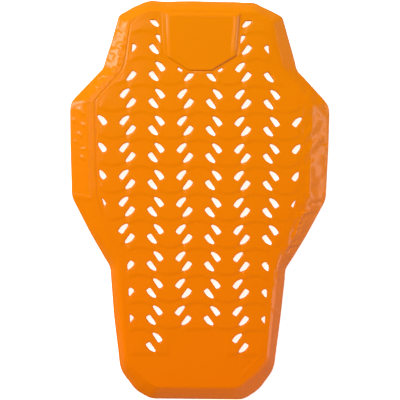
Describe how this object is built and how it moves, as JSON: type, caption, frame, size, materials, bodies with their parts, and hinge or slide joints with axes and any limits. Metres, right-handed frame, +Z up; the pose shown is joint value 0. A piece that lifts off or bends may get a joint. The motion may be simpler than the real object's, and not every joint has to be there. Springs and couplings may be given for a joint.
{
  "type": "back protector",
  "caption": "Moulded foam back protector insert: flared shoulder wings, narrow tail, bent rim and a field of teardrop air holes.",
  "frame": {"origin": "bottom centre of the bounding box, on the flat land that the pad rests on, body side down", "axes": "+Y along the spine towards the neck end, +X to the right seen from the outer face, +Z up out of the outer face"},
  "size_m": [0.2906, 0.445, 0.0181],
  "materials": {
    "foam": "bright orange moulded soft foam with a fine satin skin"
  },
  "bodies": {
    "root": {"pad": "foam"}
  },
  "joints": []
}
